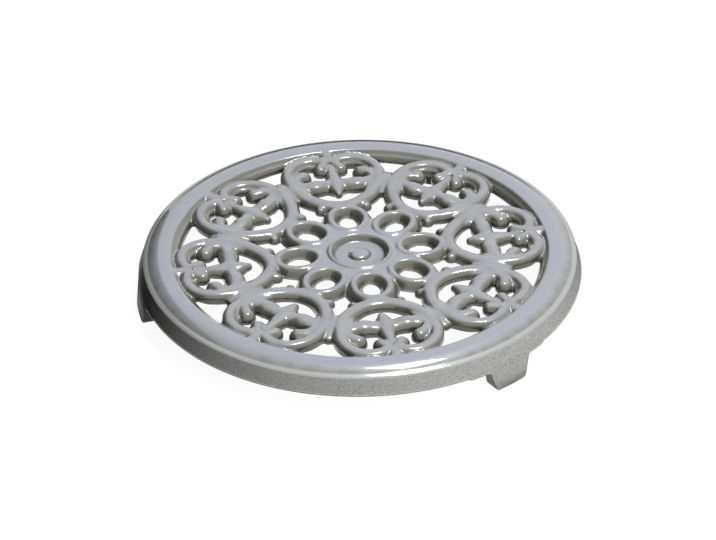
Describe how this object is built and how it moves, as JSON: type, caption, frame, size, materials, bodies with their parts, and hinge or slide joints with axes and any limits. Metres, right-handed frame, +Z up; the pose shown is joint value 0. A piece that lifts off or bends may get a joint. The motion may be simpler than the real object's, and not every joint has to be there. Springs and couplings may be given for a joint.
{
  "type": "trivet",
  "caption": "Round glazed cast-iron trivet with an openwork flower of lobed petals in a domed rim, on short feet, that holds a hot pan off a table.",
  "frame": {"origin": "on the table, under the middle of the hub", "axes": "+Z up out of the table, -X towards the left foot, which lies on the mirror plane XZ"},
  "size_m": [0.2284, 0.227, 0.0255],
  "materials": {
    "enamel": "glossy grey glaze, pale on the flats and darker where it pools",
    "pad": "matte"
  },
  "bodies": {
    "root": {"trivet_casting": "enamel", "foot_pad_left": "pad", "foot_pad_front": "pad", "foot_pad_back": "pad"}
  },
  "joints": []
}
